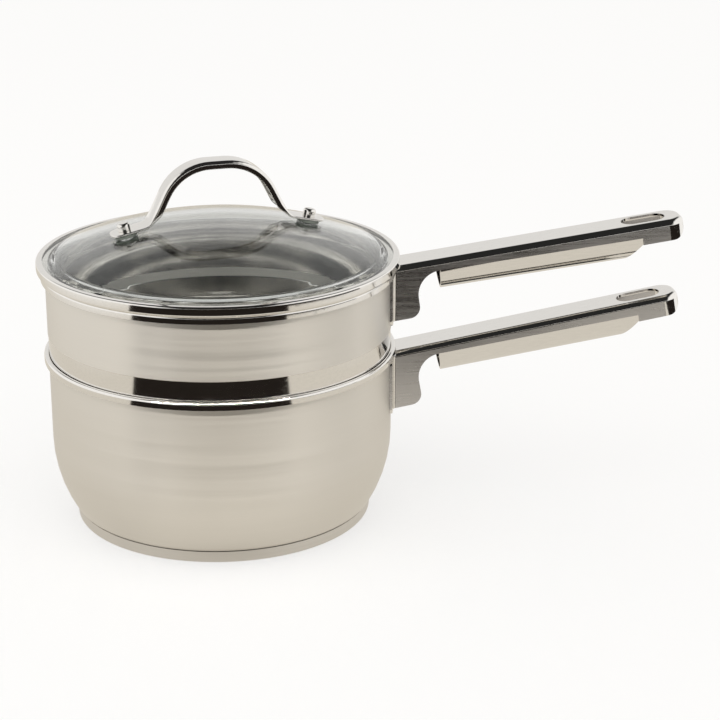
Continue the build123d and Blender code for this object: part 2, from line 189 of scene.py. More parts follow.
class FinishColours(bpy.types.PropertyGroup):
    """Colours and roughness of the finishes."""

    satin: colour("Satin steel", "Brushed outside of the walls", (0.80, 0.775, 0.73))
    satin_rough: share("Satin roughness", "How blurred the brushed walls are", 0.42)
    polished: colour("Polished steel", "Lips, bands and handles", (0.86, 0.845, 0.82))
    polished_rough: share("Polished roughness", "How blurred the polished steel is", 0.07)
    inside: colour("Inside steel", "Brushed inside of the vessels", (0.87, 0.86, 0.825))
    inside_rough: share("Inside roughness", "How blurred the inside is", 0.34)
    side: colour("Handle side", "Brushed sides of the folded handles", (0.70, 0.69, 0.69))
    side_rough: share("Handle side roughness", "How blurred the handle sides are", 0.28)
    base: colour("Base steel", "Cap under the base", (0.74, 0.72, 0.69))
    base_rough: share("Base roughness", "How blurred the base cap is", 0.36)
    glass: colour("Glass", "Tint of the lid's glass", (0.965, 0.985, 0.975))
    silicone: colour("Silicone", "Grey-green pads", (0.30, 0.33, 0.29))
    aluminium: colour("Aluminium", "Disc in the base", (0.78, 0.79, 0.80))


class StageSettings(bpy.types.PropertyGroup):
    """Camera, floor, cards and lamps."""

    camera_place: FloatVectorProperty(
        name="Camera place", description="Where the camera stands", default=(-0.02601, -0.99331, 0.42743),
        size=3, subtype="TRANSLATION", unit="LENGTH")
    camera_down: angle("Camera down", "How far the camera looks below the horizon", 19.21)
    camera_right: angle("Camera right", "How far the camera turns to the right of +Y", 5.78)
    lens: FloatProperty(name="Lens", description="Focal length", default=98.17, unit="CAMERA")
    floor_size: length("Floor size", "Side of the floor", 20.0)
    floor_white: share("Floor white", "How much the camera sees of plain white in the floor", 0.62)
    # Painted shade: for reflections the floor by the vessels glows darker and yellower than far out
    floor_near_shade: colour("Floor near", "The floor by the vessels, as steel reflects it", (0.70, 0.655, 0.575))
    floor_far: colour("Floor far", "The floor far out at the sides, as steel reflects it", WARM_WHITE)
    back_light: share("Back light", "Brightness low down behind the vessels", 0.80)
    side_light: FloatProperty(name="Side light", description="Brightness of both sides", default=1.0, min=0.0)
    overhead: share("Overhead", "Brightness above and in front", 0.022)
    inner_middle: share("Inner middle", "Brightness through the glass, straight ahead", 0.70)
    inner_sides: FloatProperty(
        name="Inner sides", description="Brightness through the glass, from both sides", default=1.0, min=0.0)
    soft_light: share("Soft light", "Even light from all sides on dull surfaces", 0.95)
    key_power: FloatProperty(name="Key power", description="Power of the soft key lamp", default=5.0, min=0.0)
    front_power: FloatProperty(
        name="Front power", description="Power of the lamp that lifts the satin walls", default=66.0, min=0.0)
    card_start: length("Card start", "Axis of the vessels to the card's near edge, at its left end", 0.28)
    card_start_right: length("Card start right", "The same at its right end", 0.26)
    card_end: length("Card end", "Axis of the vessels to the far edge of the dark card", 1.5)
    side_card: length("Side card", "Axis of the vessels to the near edge of the card on the right", 0.56)
    card_left: angle("Card left", "The card's left edge, from the line to the camera", 48)
    card_right: angle("Card right", "The card's right edge, from the line to the camera", 43)


class Socket:
    """A shader value. Sums and products written on it add the Math nodes they stand for."""

    def __init__(self, finish, output):
        self.finish = finish
        self.output = output

    def maths(self, operation, *values):
        made = self.finish.node("ShaderNodeMath", {"operation": operation}, dict(enumerate(values)))
        return Socket(self.finish, made.outputs[0])

    def __add__(self, other):
        return self.maths("ADD", self, other)

    def __radd__(self, other):
        return self.maths("ADD", other, self)

    def __sub__(self, other):
        return self.maths("SUBTRACT", self, other)

    def __rsub__(self, other):
        return self.maths("SUBTRACT", other, self)

    def __mul__(self, other):
        return self.maths("MULTIPLY", self, other)

    def __rmul__(self, other):
        return self.maths("MULTIPLY", other, self)

    def __truediv__(self, other):
        return self.maths("DIVIDE", self, other)

    def __rtruediv__(self, other):
        return self.maths("DIVIDE", other, self)

    def __pow__(self, other):
        return self.maths("POWER", self, other)

    def __mod__(self, other):
        return self.maths("FLOORED_MODULO", self, other)

    def __floordiv__(self, other):
        return (self / other).maths_of("FLOOR")

    def maths_of(self, operation):
        return self.maths(operation, self)

    def absolute(self):
        return self.maths_of("ABSOLUTE")

    def greater_of(self, other):
        return self.maths("MAXIMUM", self, other)


class Finish:
    """A node tree being filled: a material's or the world's."""

    def __init__(self, tree):
        self.tree = tree
        self.tree.nodes.clear()

    def node(self, kind, settings=None, values=None):
        """Add a node, make its settings, then set or link its sockets."""
        made = self.tree.nodes.new(kind)
        for name, setting in (settings or {}).items():
            if name == "stops":
                self.set_stops(made.color_ramp, setting)
            else:
                setattr(made, name, setting)
        for name, value in (values or {}).items():
            socket = made.inputs[name]
            if isinstance(value, Socket):
                self.tree.links.new(value.output, socket)
            else:
                socket.default_value = value
        return made

    def set_stops(self, ramp, stops):
        while len(ramp.elements) < len(stops):
            ramp.elements.new(1.0)
        for element, (place, shade) in zip(ramp.elements, stops):
            element.position = place
            element.color = shade

    def out(self, made, name=0):
        return Socket(self, made.outputs[name])

    def value(self, kind, settings=None, values=None, name=0):
        return self.out(self.node(kind, settings, values), name)

    def place(self, scale=(1, 1, 1), turn=(0, 0, 0)):
        """The point on the object, stretched and turned."""
        where = self.value("ShaderNodeTexCoord", name="Object")
        return self.value("ShaderNodeMapping", {"vector_type": "POINT"},
                          {"Vector": where, "Scale": scale, "Rotation": turn})

    def noise(self, scale, detail=3.0, roughness=0.5, stretch=(1, 1, 1), turn=(0, 0, 0)):
        return self.value("ShaderNodeTexNoise", {"noise_dimensions": "3D"},
                          {"Vector": self.place(stretch, turn), "Scale": scale, "Detail": detail,
                           "Roughness": roughness}, "Fac")

    def span(self, value, low, high, start, end):
        """Carry a value from one range to another, held at its ends."""
        return self.value("ShaderNodeMapRange", {"clamp": True},
                          {"Value": value, "From Min": low, "From Max": high, "To Min": start, "To Max": end})

    def blend(self, factor, first, second):
        """Mix two colours."""
        made = self.node("ShaderNodeMix", {"data_type": "RGBA"}, {"Factor": factor, 6: first, 7: second})
        return self.out(made, 2)

    def bump(self, height, distance, strength=1.0):
        return self.value("ShaderNodeBump", {},
                          {"Height": height, "Distance": distance, "Strength": strength})


def rgba(tone, share_of=1.0):
    return (*(part * share_of for part in tone), 1.0)


def new_material(name):
    material = bpy.data.materials.new(name)
    material.use_nodes = True
    return material, Finish(material.node_tree)


def surface(finish, values):
    """A Principled shader joined to the output."""
    shader = finish.node("ShaderNodeBsdfPrincipled", {}, values)
    finish.node("ShaderNodeOutputMaterial", {}, {"Surface": finish.out(shader)})
    return shader


def ring_place(finish, round_scale, rise_scale):
    """Coordinates for marks that run round the Z axis, stretched along the turn."""
    where = finish.value("ShaderNodeTexCoord", name="Object")
    parts = finish.node("ShaderNodeSeparateXYZ", {}, {"Vector": where})
    across, along, height = (finish.out(parts, index) for index in range(3))
    radius = (across * across + along * along) ** 0.5
    return finish.value("ShaderNodeCombineXYZ", {}, {
        "X": radius * rise_scale + across * round_scale,
        "Y": along * round_scale,
        "Z": height * rise_scale,
    })


def ring_noise(finish, round_scale, rise_scale, detail, name="Fac"):
    return finish.value("ShaderNodeTexNoise", {"noise_dimensions": "3D"}, {
        "Vector": ring_place(finish, round_scale, rise_scale), "Scale": 1.0, "Detail": detail,
        "Roughness": 0.6}, name)


def turned_steel(name, tone, rough, contrast, groove, anisotropy):
    """Steel brushed round the Z axis: fine lines that blur reflections upwards and downwards."""
    material, finish = new_material(name)
    fine = ring_noise(finish, 14.0, 5200.0, 2.0)
    broad = ring_noise(finish, 5.0, 420.0, 4.0)
    smear = finish.noise(9.0, 3.0, 0.55, (1, 1, 0.5))
    shade = finish.span(fine * 0.6 + broad * 0.4, 0.3, 0.7, 0.0, 1.0)
    light = rgba(tone, 1.0 + contrast)
    dark = rgba(tone, 1.0 - contrast)
    mottled = finish.span(broad * 0.5 + smear * 0.5, 0.3, 0.7, rough * 0.88, rough * 1.14)
    surface(finish, {
        "Base Color": finish.blend(shade, dark, light),
        "Metallic": 1.0,
        "Roughness": mottled,
        "Anisotropic": anisotropy,
        "Anisotropic Rotation": 0.25,
        "Normal": finish.bump(fine * 0.7 + broad * 0.3, groove, 0.6),
    })
    return material


def polished_steel(name, tone, rough):
    """Near mirror, with faint wiping marks and small scratches that catch the light."""
    material, finish = new_material(name)
    smear = finish.noise(28.0, 4.0, 0.6)
    streaks = finish.noise(160.0, 3.0, 0.6, (1, 6, 6), (0.3, 0.2, 0.5))
    scratches = finish.noise(420.0, 2.0, 0.6, (0.15, 1.0, 1.0), (0.1, 0.4, 0.9))
    marks = finish.span(scratches, 0.62, 0.72, 0.0, 1.0)
    worn = finish.span(smear, 0.35, 0.7, rough * 0.7, rough * 1.5) + marks * (rough * 0.9)
    tint = finish.blend(finish.span(streaks, 0.3, 0.7, 0.0, 1.0), rgba(tone, 0.975), rgba(tone, 1.02))
    surface(finish, {
        "Base Color": tint,
        "Metallic": 1.0,
        "Roughness": worn,
        "Normal": finish.bump(smear * 0.7 + marks * 0.3, 0.00001, 0.35),
    })
    return material


def brushed_flat(name, tone, rough):
    """Straight brushing along a handle's flat sides."""
    material, finish = new_material(name)
    lines = finish.noise(900.0, 3.0, 0.6, (0.03, 1.0, 1.0))
    cross = finish.noise(40.0, 3.0, 0.5)
    shade = finish.span(lines, 0.3, 0.7, 0.0, 1.0)
    surface(finish, {
        "Base Color": finish.blend(shade, rgba(tone, 0.93), rgba(tone, 1.05)),
        "Metallic": 1.0,
        "Roughness": finish.span(lines * 0.6 + cross * 0.4, 0.35, 0.65, rough * 0.85, rough * 1.2),
        "Normal": finish.bump(lines, 0.00001, 0.5),
    })
    return material


def clear_glass(name, tone):
    """Tempered glass with a trace of wiping on it."""
    material, finish = new_material(name)
    film = finish.noise(18.0, 4.0, 0.6)
    surface(finish, {
        "Base Color": rgba(tone),
        "Roughness": finish.span(film, 0.45, 0.8, 0.0, 0.012),
        "IOR": 1.5,
        "Transmission Weight": 1.0,
        "Normal": finish.bump(finish.noise(9.0, 1.0), 0.00003, 0.05),
    })
    return material


def soft_silicone(name, tone):
    material, finish = new_material(name)
    grain = finish.noise(700.0, 3.0, 0.6)
    cloud = finish.noise(60.0, 3.0, 0.5)
    surface(finish, {
        "Base Color": finish.blend(cloud, rgba(tone, 0.85), rgba(tone, 1.15)),
        "Roughness": finish.span(grain, 0.3, 0.7, 0.42, 0.6),
        "Normal": finish.bump(grain, 0.00002, 0.4),
    })
    return material


def cast_aluminium(name, tone):
    material, finish = new_material(name)
    grain = finish.noise(500.0, 4.0, 0.6)
    surface(finish, {
        "Base Color": finish.blend(grain, rgba(tone, 0.9), rgba(tone)),
        "Metallic": 1.0,
        "Roughness": finish.span(grain, 0.3, 0.7, 0.4, 0.55),
        "Normal": finish.bump(grain, 0.00003, 0.4),
    })
    return material


def finishes():
    """Every finish of the object, made once."""
    if "satin_wall" not in bpy.data.materials:
        tones = bpy.context.scene.boiler_finishes
        turned_steel("satin_wall", tones.satin, tones.satin_rough, 0.015, 0.000005, 0.68)
        polished_steel("polished_steel", tones.polished, tones.polished_rough)
        turned_steel("brushed_inside", tones.inside, tones.inside_rough, 0.05, 0.00001, 0.8)
        turned_steel("base_satin", tones.base, tones.base_rough, 0.04, 0.00001, 0.5)
        brushed_flat("handle_side", tones.side, tones.side_rough)
        polished_steel("machined_steel", tones.polished, tones.polished_rough * 2)
        clear_glass("tempered_glass", tones.glass)
        soft_silicone("silicone", tones.silicone)
        cast_aluminium("aluminium", tones.aluminium)
    return bpy.data.materials


def arc(centre, radius, start, turn):
    """Points on an arc, from an angle and through a turn in radians."""
    steps = max(2, round(abs(turn) / ARC_STEP))
    return [
        Vector((centre[0] + radius * math.cos(start + turn * step / steps),
                centre[1] + radius * math.sin(start + turn * step / steps)))
        for step in range(steps + 1)
    ]


def rounded(corners, radii, closed=False):
    """Outline through corners, each rounded by an arc of its radius."""
    points = [Vector(corner) for corner in corners]
    line = []
    for index, (corner, radius) in enumerate(zip(points, radii)):
        if not radius or not closed and index in (0, len(points) - 1):
            line.append(corner)
            continue
        back = (points[index - 1] - corner).normalized()
        onward = (points[(index + 1) % len(points)] - corner).normalized()
        half = back.angle(onward) / 2
        middle = corner + (back + onward).normalized() * (radius / math.sin(half))
        first = corner + back * (radius / math.tan(half)) - middle
        last = corner + onward * (radius / math.tan(half)) - middle
        start = math.atan2(first.y, first.x)
        turn = (math.atan2(last.y, last.x) - start + math.pi) % (2 * math.pi) - math.pi
        line += arc(middle, radius, start, turn)
    return line


def offset(line, depth):
    """The line moved to its left, with mitred corners."""
    moved = []
    for index, point in enumerate(line):
        sides = []
        for start, end in ((index - 1, index), (index, index + 1)):
            if start >= 0 and end < len(line) and (line[end] - line[start]).length > MERGE:
                along = (line[end] - line[start]).normalized()
                sides.append(Vector((-along.y, along.x)))
        shift = sides[0] + sides[-1]
        moved.append(point + shift * (depth / (1 + sides[0].dot(sides[-1]))))
    return moved


def mesh_object(name, mesh):
    made = bpy.data.objects.new(name, mesh)
    bpy.context.scene.collection.objects.link(made)
    return made


def profile_object(name, line, kinds):
    """A section as bare edges, with the finish of the stretch that starts at each point."""
    mesh = bpy.data.meshes.new(name)
    edges = [(index, index + 1) for index in range(len(line) - 1)]
    mesh.from_pydata([(point.x, 0.0, point.y) for point in line], edges, [])
    marks = mesh.attributes.new("finish", "INT", "POINT")
    marks.data.foreach_set("value", kinds)
    return mesh_object(name, mesh)


def tree_interface(tree, sockets):
    for name, kind in sockets:
        tree.interface.new_socket(name, in_out="INPUT", socket_type=kind)
    tree.interface.new_socket("Geometry", in_out="OUTPUT", socket_type="NodeSocketGeometry")


def turning_tree():
    """Geometry nodes that turn a section about Z and give each stretch its finish."""
    if "turned" in bpy.data.node_groups:
        return bpy.data.node_groups["turned"]
    tree = bpy.data.node_groups.new("turned", "GeometryNodeTree")
    tree_interface(tree, [
        ("Section", "NodeSocketGeometry"), ("Segments", "NodeSocketInt"),
        ("Wall finish", "NodeSocketMaterial"), ("Polished finish", "NodeSocketMaterial"),
        ("Inside finish", "NodeSocketMaterial"),
    ])
    made = Finish(tree)
    given = made.node("NodeGroupInput")
    section, segments = made.out(given, "Section"), made.out(given, "Segments")
    count = made.value("GeometryNodeAttributeDomainSize", {"component": "MESH"}, {"Geometry": section})
    grid = made.value("GeometryNodeMeshGrid", {}, {"Vertices X": segments + 1, "Vertices Y": count}, "Mesh")
    index = made.value("GeometryNodeInputIndex")
    row = index % count
    turn = index // count * (2 * math.pi) / segments
    place = made.value("GeometryNodeInputPosition")
    point = made.value("GeometryNodeSampleIndex", {"data_type": "FLOAT_VECTOR", "domain": "POINT"},
                       {"Geometry": section, "Value": place, "Index": row})
    spun = made.value("ShaderNodeVectorRotate", {"rotation_type": "Z_AXIS"}, {"Vector": point, "Angle": turn})
    body = made.value("GeometryNodeSetPosition", {}, {"Geometry": grid, "Position": spun})
    mark = made.value("GeometryNodeInputNamedAttribute", {"data_type": "INT"}, {"Name": "finish"})
    face_row = index % (count - 1)
    kind = made.value("GeometryNodeSampleIndex", {"data_type": "INT", "domain": "POINT"},
                      {"Geometry": section, "Value": mark, "Index": face_row})
    body = made.value("GeometryNodeStoreNamedAttribute", {"data_type": "INT", "domain": "FACE"},
                      {"Geometry": body, "Name": "finish", "Value": kind})
    body = made.value("GeometryNodeMergeByDistance", {}, {"Geometry": body, "Distance": MERGE})
    body = made.value("GeometryNodeSetShadeSmooth", {}, {"Geometry": body})
    body = made.value("GeometryNodeRealizeInstances", {}, {"Geometry": body})
    for number, name in ((WALL, "Wall finish"), (POLISHED, "Polished finish"), (INSIDE, "Inside finish")):
        chosen = made.value("FunctionNodeCompare", {"data_type": "INT", "operation": "EQUAL"},
                            {"A": mark, "B": number})
        body = made.value("GeometryNodeSetMaterial", {},
                          {"Geometry": body, "Selection": chosen, "Material": made.out(given, name)})
    made.node("NodeGroupOutput", {}, {"Geometry": body})
    return tree


def pairing_tree():
    """Geometry nodes that stand a small piece at both screws, square to the domed glass."""
    if "at_both_screws" in bpy.data.node_groups:
        return bpy.data.node_groups["at_both_screws"]
    tree = bpy.data.node_groups.new("at_both_screws", "GeometryNodeTree")
    tree_interface(tree, [
        ("Piece", "NodeSocketGeometry"), ("Reach", "NodeSocketFloat"), ("Crown radius", "NodeSocketFloat"),
        ("Crown top", "NodeSocketFloat"), ("Turn", "NodeSocketFloat"), ("Finish", "NodeSocketMaterial"),
    ])
    made = Finish(tree)
    given = made.node("NodeGroupInput")
    piece, reach, crown, top, turn, finish = (made.out(given, index) for index in range(6))
    side = made.value("GeometryNodeInputIndex") * 2 - 1
    lean = (reach / crown).maths_of("ARCSINE")
    height = top - crown + (crown * crown - reach * reach) ** 0.5
    place = made.value("ShaderNodeCombineXYZ", {}, {"X": side * reach, "Z": height})
    points = made.value("GeometryNodePoints", {}, {"Count": 2, "Position": place})
    tilt = made.value("ShaderNodeCombineXYZ", {}, {"Y": side * lean})
    both = made.value("GeometryNodeInstanceOnPoints", {},
                      {"Points": points, "Instance": piece, "Rotation": tilt})
    about = made.value("ShaderNodeCombineXYZ", {}, {"Z": turn})
    both = made.value("GeometryNodeTransform", {}, {"Geometry": both, "Rotation": about})
    both = made.value("GeometryNodeRealizeInstances", {}, {"Geometry": both})
    both = made.value("GeometryNodeSetMaterial", {}, {"Geometry": both, "Material": finish})
    made.node("NodeGroupOutput", {}, {"Geometry": both})
    return tree


def run_tree(piece, tree, values):
    """Put a tree on a piece, set its named inputs, and keep the result as a plain mesh."""
    modifier = piece.modifiers.new(tree.name, "NODES")
    modifier.node_group = tree
    for item in tree.interface.items_tree:
        if item.in_out == "INPUT" and item.name in values:
            modifier[item.identifier] = values[item.name]
    return plain(piece)


def plain(piece):
    """Replace a piece's mesh by its evaluated one, with its modifiers gone."""
    bpy.context.view_layer.update()
    shown = piece.evaluated_get(bpy.context.evaluated_depsgraph_get())
    mesh = bpy.data.meshes.new_from_object(shown)
    old = piece.data
    piece.modifiers.clear()
    piece.data = mesh
    mesh.name = piece.name
    bpy.data.meshes.remove(old)
    drop_empty_slots(mesh)
    return piece


def drop_empty_slots(mesh):
    """Leave only the finishes in use. Faces without one take the first."""
    kept = [index for index, finish in enumerate(mesh.materials) if finish]
    used = sorted({face.material_index for face in mesh.polygons}.intersection(kept))
    if not used:
        return
    finishes_in_use = [mesh.materials[index] for index in used]
    places = [used.index(face.material_index) if face.material_index in used else 0 for face in mesh.polygons]
    mesh.materials.clear()
    for finish in finishes_in_use:
        mesh.materials.append(finish)
    mesh.polygons.foreach_set("material_index", places)


def face_outward(piece):
    """Closed faces turned outwards, smooth except across sharp edges."""
    body = bmesh.new()
    body.from_mesh(piece.data)
    bmesh.ops.recalc_face_normals(body, faces=body.faces)
    if body.calc_volume(signed=True) < 0:
        bmesh.ops.reverse_faces(body, faces=body.faces)
    body.to_mesh(piece.data)
    body.free()
    piece.data.set_sharp_from_angle(angle=SHARP)
    return piece


def turned(name, line, kinds, wall, polished="polished_steel", inside="brushed_inside", segments=None):
    """A piece turned about Z from its section."""
    made = finishes()
    piece = profile_object(name, line, kinds)
    run_tree(piece, turning_tree(), {
        "Segments": segments or bpy.context.scene.boiler_vessels.segments,
        "Wall finish": made[wall], "Polished finish": made[polished], "Inside finish": made[inside],
    })
    return face_outward(piece)


def belongs(piece, body, slot, *nodes):
    """The piece stands for CAD nodes and rides on their body."""
    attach(piece, body)
    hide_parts(*nodes)


def rolled_lip(size, wall, crest):
    """Outer face of the sheet where a wall rolls outward at its crest and hangs as a short skirt."""
    turn = size.lip_roll - size.sheet
    roll = arc((wall + turn, crest - size.lip_roll), turn, math.pi, -math.pi)
    return roll + [roll[-1] - Vector((0, size.lip_skirt))]


def sheet_section(stretches, thickness):
    """Section of a bent sheet from stretches of (points, outer finish, inner finish) of its outer face."""
    line, outer, inner = [], [], []
    for points, outer_kind, inner_kind in stretches:
        line += points
        outer += [outer_kind] * len(points)
        inner += [inner_kind] * len(points)
    far = offset(line, thickness)
    far[0].x = 0.0
    kinds = outer[:-1] + [POLISHED] + inner[::-1]
    return line + far[::-1], kinds


def wall_radius(size):
    """Outside of the straight walls, from the lip that model.glb gives."""
    return INSERT_HIGH.x - 2 * size.lip_roll + size.sheet


def saucepan_shell_section(size):
    wall = wall_radius(size)
    floor = PAN_LOW.z
    height = floor + size.base_corner
    middle = wall - size.belly_radius
    across = math.sqrt((size.belly_radius - size.base_corner) ** 2 - (size.belly_top - height) ** 2)
    corner = Vector((middle + across, height))
    meet = math.atan2(height - size.belly_top, across)
    flat = [Vector((0, floor)), Vector((corner.x / 2, floor))]
    bend = arc(corner, size.base_corner, -math.pi / 2, math.pi / 2 + meet)
    belly = arc((middle, size.belly_top), size.belly_radius, meet, -meet)
    lip = rolled_lip(size, wall, PAN_HIGH.z)
    return sheet_section([
        (flat + bend, WALL, INSIDE), (belly[1:], WALL, INSIDE), (lip, POLISHED, POLISHED)], size.sheet)


def insert_shell_section(size):
    wall = wall_radius(size)
    band = wall - size.band_step
    across = size.lip_roll - size.sheet + size.band_step + size.ledge_corner
    apart = size.lip_roll + size.ledge_corner + size.seat_gap
    rise = math.sqrt(apart ** 2 - across ** 2)
    ledge = PAN_HIGH.z - size.lip_roll + rise - size.ledge_corner
    step = ledge + size.band_height
    bottom = INSERT_LOW.z
    bowl = rounded(
        [(0, bottom), (size.bowl_radius, bottom), (size.bowl_radius, ledge), (band, ledge),
         (band, step - size.band_step), (wall, step), (wall, INSERT_HIGH.z - size.lip_roll)],
        [0, size.bowl_corner, size.ledge_fillet, size.ledge_corner, 0, 0, 0])
    lip = rolled_lip(size, wall, INSERT_HIGH.z)
    side = next(index for index, point in enumerate(bowl) if point.y > bottom + size.bowl_corner)
    straight = len(bowl) - 2
    return sheet_section([
        (bowl[:side], WALL, POLISHED), (bowl[side:straight], POLISHED, POLISHED),
        (bowl[straight:-1], WALL, POLISHED),
        ([Vector((wall, size.brushed_from))], WALL, INSIDE), (lip, POLISHED, POLISHED)], size.sheet)


def base_cap_section(size):
    line = rounded([(0, 0), (CAP_HIGH.x, 0), (CAP_HIGH.x, CAP_HIGH.z)], [0, size.cap_corner, 0])
    return sheet_section([(line, WALL, INSIDE)], size.cap_sheet)


def crown_height(size, reach):
    """Height of the glass's top face at a distance from the axis."""
    return GLASS_HIGH.z - size.crown_radius + math.sqrt(size.crown_radius ** 2 - reach ** 2)


def left_of(start, end):
    along = (end - start).normalized()
    return Vector((-along.y, along.x))


def mitred(corner, before, after, depth):
    """Corner moved in by a depth from both of the stretches that meet there."""
    return corner + (before + after) * (depth / (1 + before.dot(after)))


def glass_face(size, depth, rim):
    """The dome's end, the step's foot and the edge, on the face at a depth in the glass."""
    mouth = INSERT_HIGH.x - 2 * size_of_lip_roll()
    reach = mouth - size.crown_inset
    end = Vector((reach, crown_height(size, reach)))
    foot = Vector((reach + size.knuckle_width, rim))
    centre = Vector((0, GLASS_HIGH.z - size.crown_radius))
    step = left_of(foot, end)
    return (mitred(end, (centre - end).normalized(), step, depth),
            mitred(foot, step, Vector((0, -1)), depth),
            Vector((GLASS_HIGH.x, rim - depth)))


def size_of_lip_roll():
    return bpy.context.scene.boiler_vessels.lip_roll


def glass_section(size):
    rim = GLASS_LOW.z + size.glass
    end, foot, edge = glass_face(size, 0.0, rim)
    low_end, low_foot, low_edge = glass_face(size, size.glass, rim)
    centre = Vector((0, GLASS_HIGH.z - size.crown_radius))

    def dome(radius, end, corner_radius):
        """Points on the dome from the axis to where the corner's rounding starts."""
        slope = math.asin((end.x - corner_radius / 4) / radius)
        return [centre + Vector((math.sin(slope * step / 24), math.cos(slope * step / 24))) * radius
                for step in range(24)]

    top = dome(size.crown_radius, end, size.knuckle_round)
    low = dome(size.crown_radius - size.glass, low_end, size.knuckle_hollow)
    line = top[:-1] + rounded(
        [top[-1], end, foot, edge, low_edge, low_foot, low_end, low[-1]],
        [0, size.knuckle_round, size.knuckle_hollow, size.glass_edge, size.glass_edge,
         size.knuckle_hollow + size.glass, size.knuckle_round - size.glass, 0]) + low[-2::-1]
    return line, [WALL] * len(line)


def rim_band_section(size):
    mouth = INSERT_HIGH.x - 2 * size_of_lip_roll()
    skirt = mouth - size.skirt_inset
    hem = BAND_LOW.z + size.band_sheet
    seat = hem + size.skirt_depth - size.band_sheet
    out, top, sheet = BAND_HIGH.x, BAND_HIGH.z, size.band_sheet
    inner_round = size.band_corner - sheet
    fold = arc((skirt - sheet, hem), sheet, 0, -math.pi)
    outer = rounded(
        [(out - size.band_lip, top), (out, top), (out, seat), (skirt, seat), fold[0]],
        [0, size.band_corner, size.band_corner, 0, 0])
    inner = rounded(
        [fold[-1], (skirt - 2 * sheet, seat + sheet), (out - sheet, seat + sheet), (out - sheet, top - sheet),
         (out - size.band_lip, top - sheet)],
        [0, 0, inner_round, inner_round, 0])
    line = outer[:-1] + fold[:-1] + inner
    line.append(outer[0])
    return line, [POLISHED] * len(line)


def drill(piece, size):
    """Cut the two screw holes, square to the dome."""
    for side in (-1, 1):
        lean = side * math.asin(size.screw_reach / size.crown_radius)
        place = (Matrix.Rotation(size.turn, 4, "Z")
                 @ Matrix.Translation((side * size.screw_reach, 0, crown_height(size, size.screw_reach)))
                 @ Matrix.Rotation(lean, 4, "Y"))
        bit = bmesh.new()
        bmesh.ops.create_cone(bit, cap_ends=True, segments=64, radius1=size.hole / 2, radius2=size.hole / 2,
                              depth=4 * size.glass, matrix=place)
        mesh = bpy.data.meshes.new("bit")
        bit.to_mesh(mesh)
        bit.free()
        cutter = mesh_object("bit", mesh)
        cut = piece.modifiers.new("hole", "BOOLEAN")
        cut.object = cutter
        cut.solver = "EXACT"
        plain(piece)
        bpy.data.objects.remove(cutter)
        bpy.data.meshes.remove(mesh)
    piece.data.set_sharp_from_angle(angle=SHARP)


def ring_line(outside, bore, bottom, top, edge):
    """Section of a flat ring with softened edges."""
    corners = [(bore, bottom), (outside, bottom), (outside, top), (bore, top)]
    line = rounded(corners, [edge / 2, edge, edge, edge / 2], closed=True)
    return line + [line[0]]


def at_both_screws(name, line, finish, slot, size):
    """A small turned piece, one at each screw, that stands for the left and the right CAD node."""
    piece = turned(name, line, [WALL] * len(line), finish, finish, finish, 48)
    run_tree(piece, pairing_tree(), {
        "Reach": size.screw_reach, "Crown radius": size.crown_radius, "Crown top": GLASS_HIGH.z,
        "Turn": size.turn, "Finish": finishes()[finish],
    })
    face_outward(piece)
    single = name[:-1]
    belongs(piece, "lid", slot, "left_" + single, "right_" + single)


def foot_point(size, reach, level):
    """Point at a reach on the line that lies at a level above the glass, square to the screw."""
    lean = math.asin(size.screw_reach / size.crown_radius)
    base = Vector((size.screw_reach, crown_height(size, size.screw_reach)))
    base += Vector((math.sin(lean), math.cos(lean))) * level
    return Vector((reach, base.y - (reach - base.x) * math.tan(lean)))


def arch_path(size):
    """The arch's outer face from its left foot to its right one, in even short steps."""
    level = size.upper_seal + size.grip_sheet
    end = foot_point(size, size.foot_reach, level)
    bend = foot_point(size, size.foot_bend, level)
    top = Vector((size.grip_top, GLASS_HIGH.z + size.grip_rise))
    turn = math.atan2(top.y - bend.y, bend.x - top.x)
    most = MOST_BEND * size.grip_top / math.tan(turn / 2)
    right = [end, bend, top]
    corners = [Vector((-point.x, point.y)) for point in right] + right[::-1]
    radii = [0, size.foot_radius, min(size.grip_bend, most)]
    line = rounded(corners, radii + radii[::-1])
    spaced = [line[0]]
    for point in line[1:]:
        gap = (point - spaced[-1]).length
        steps = max(1, round(gap / STRAP_STEP))
        start = spaced[-1]
        spaced += [start.lerp(point, step / steps) for step in range(1, steps + 1)]
    return spaced


def strap_ring(size, half, flange, corner):
    """Section of the strap as (across, depth below its outer face): a channel, or flat at the feet."""
    sheet = size.grip_sheet
    hem = sheet * HEM_SHARE
    inside = half - sheet
    fillet = min(INNER_FILLET, (flange - sheet) / 3)
    corners = [(half, flange), (half, 0), (-half, 0), (-half, flange), (-inside, flange), (-inside, sheet),
               (inside, sheet), (inside, flange)]
    return rounded(corners, [hem, corner, corner, hem, hem, fillet, fillet, hem], closed=True)


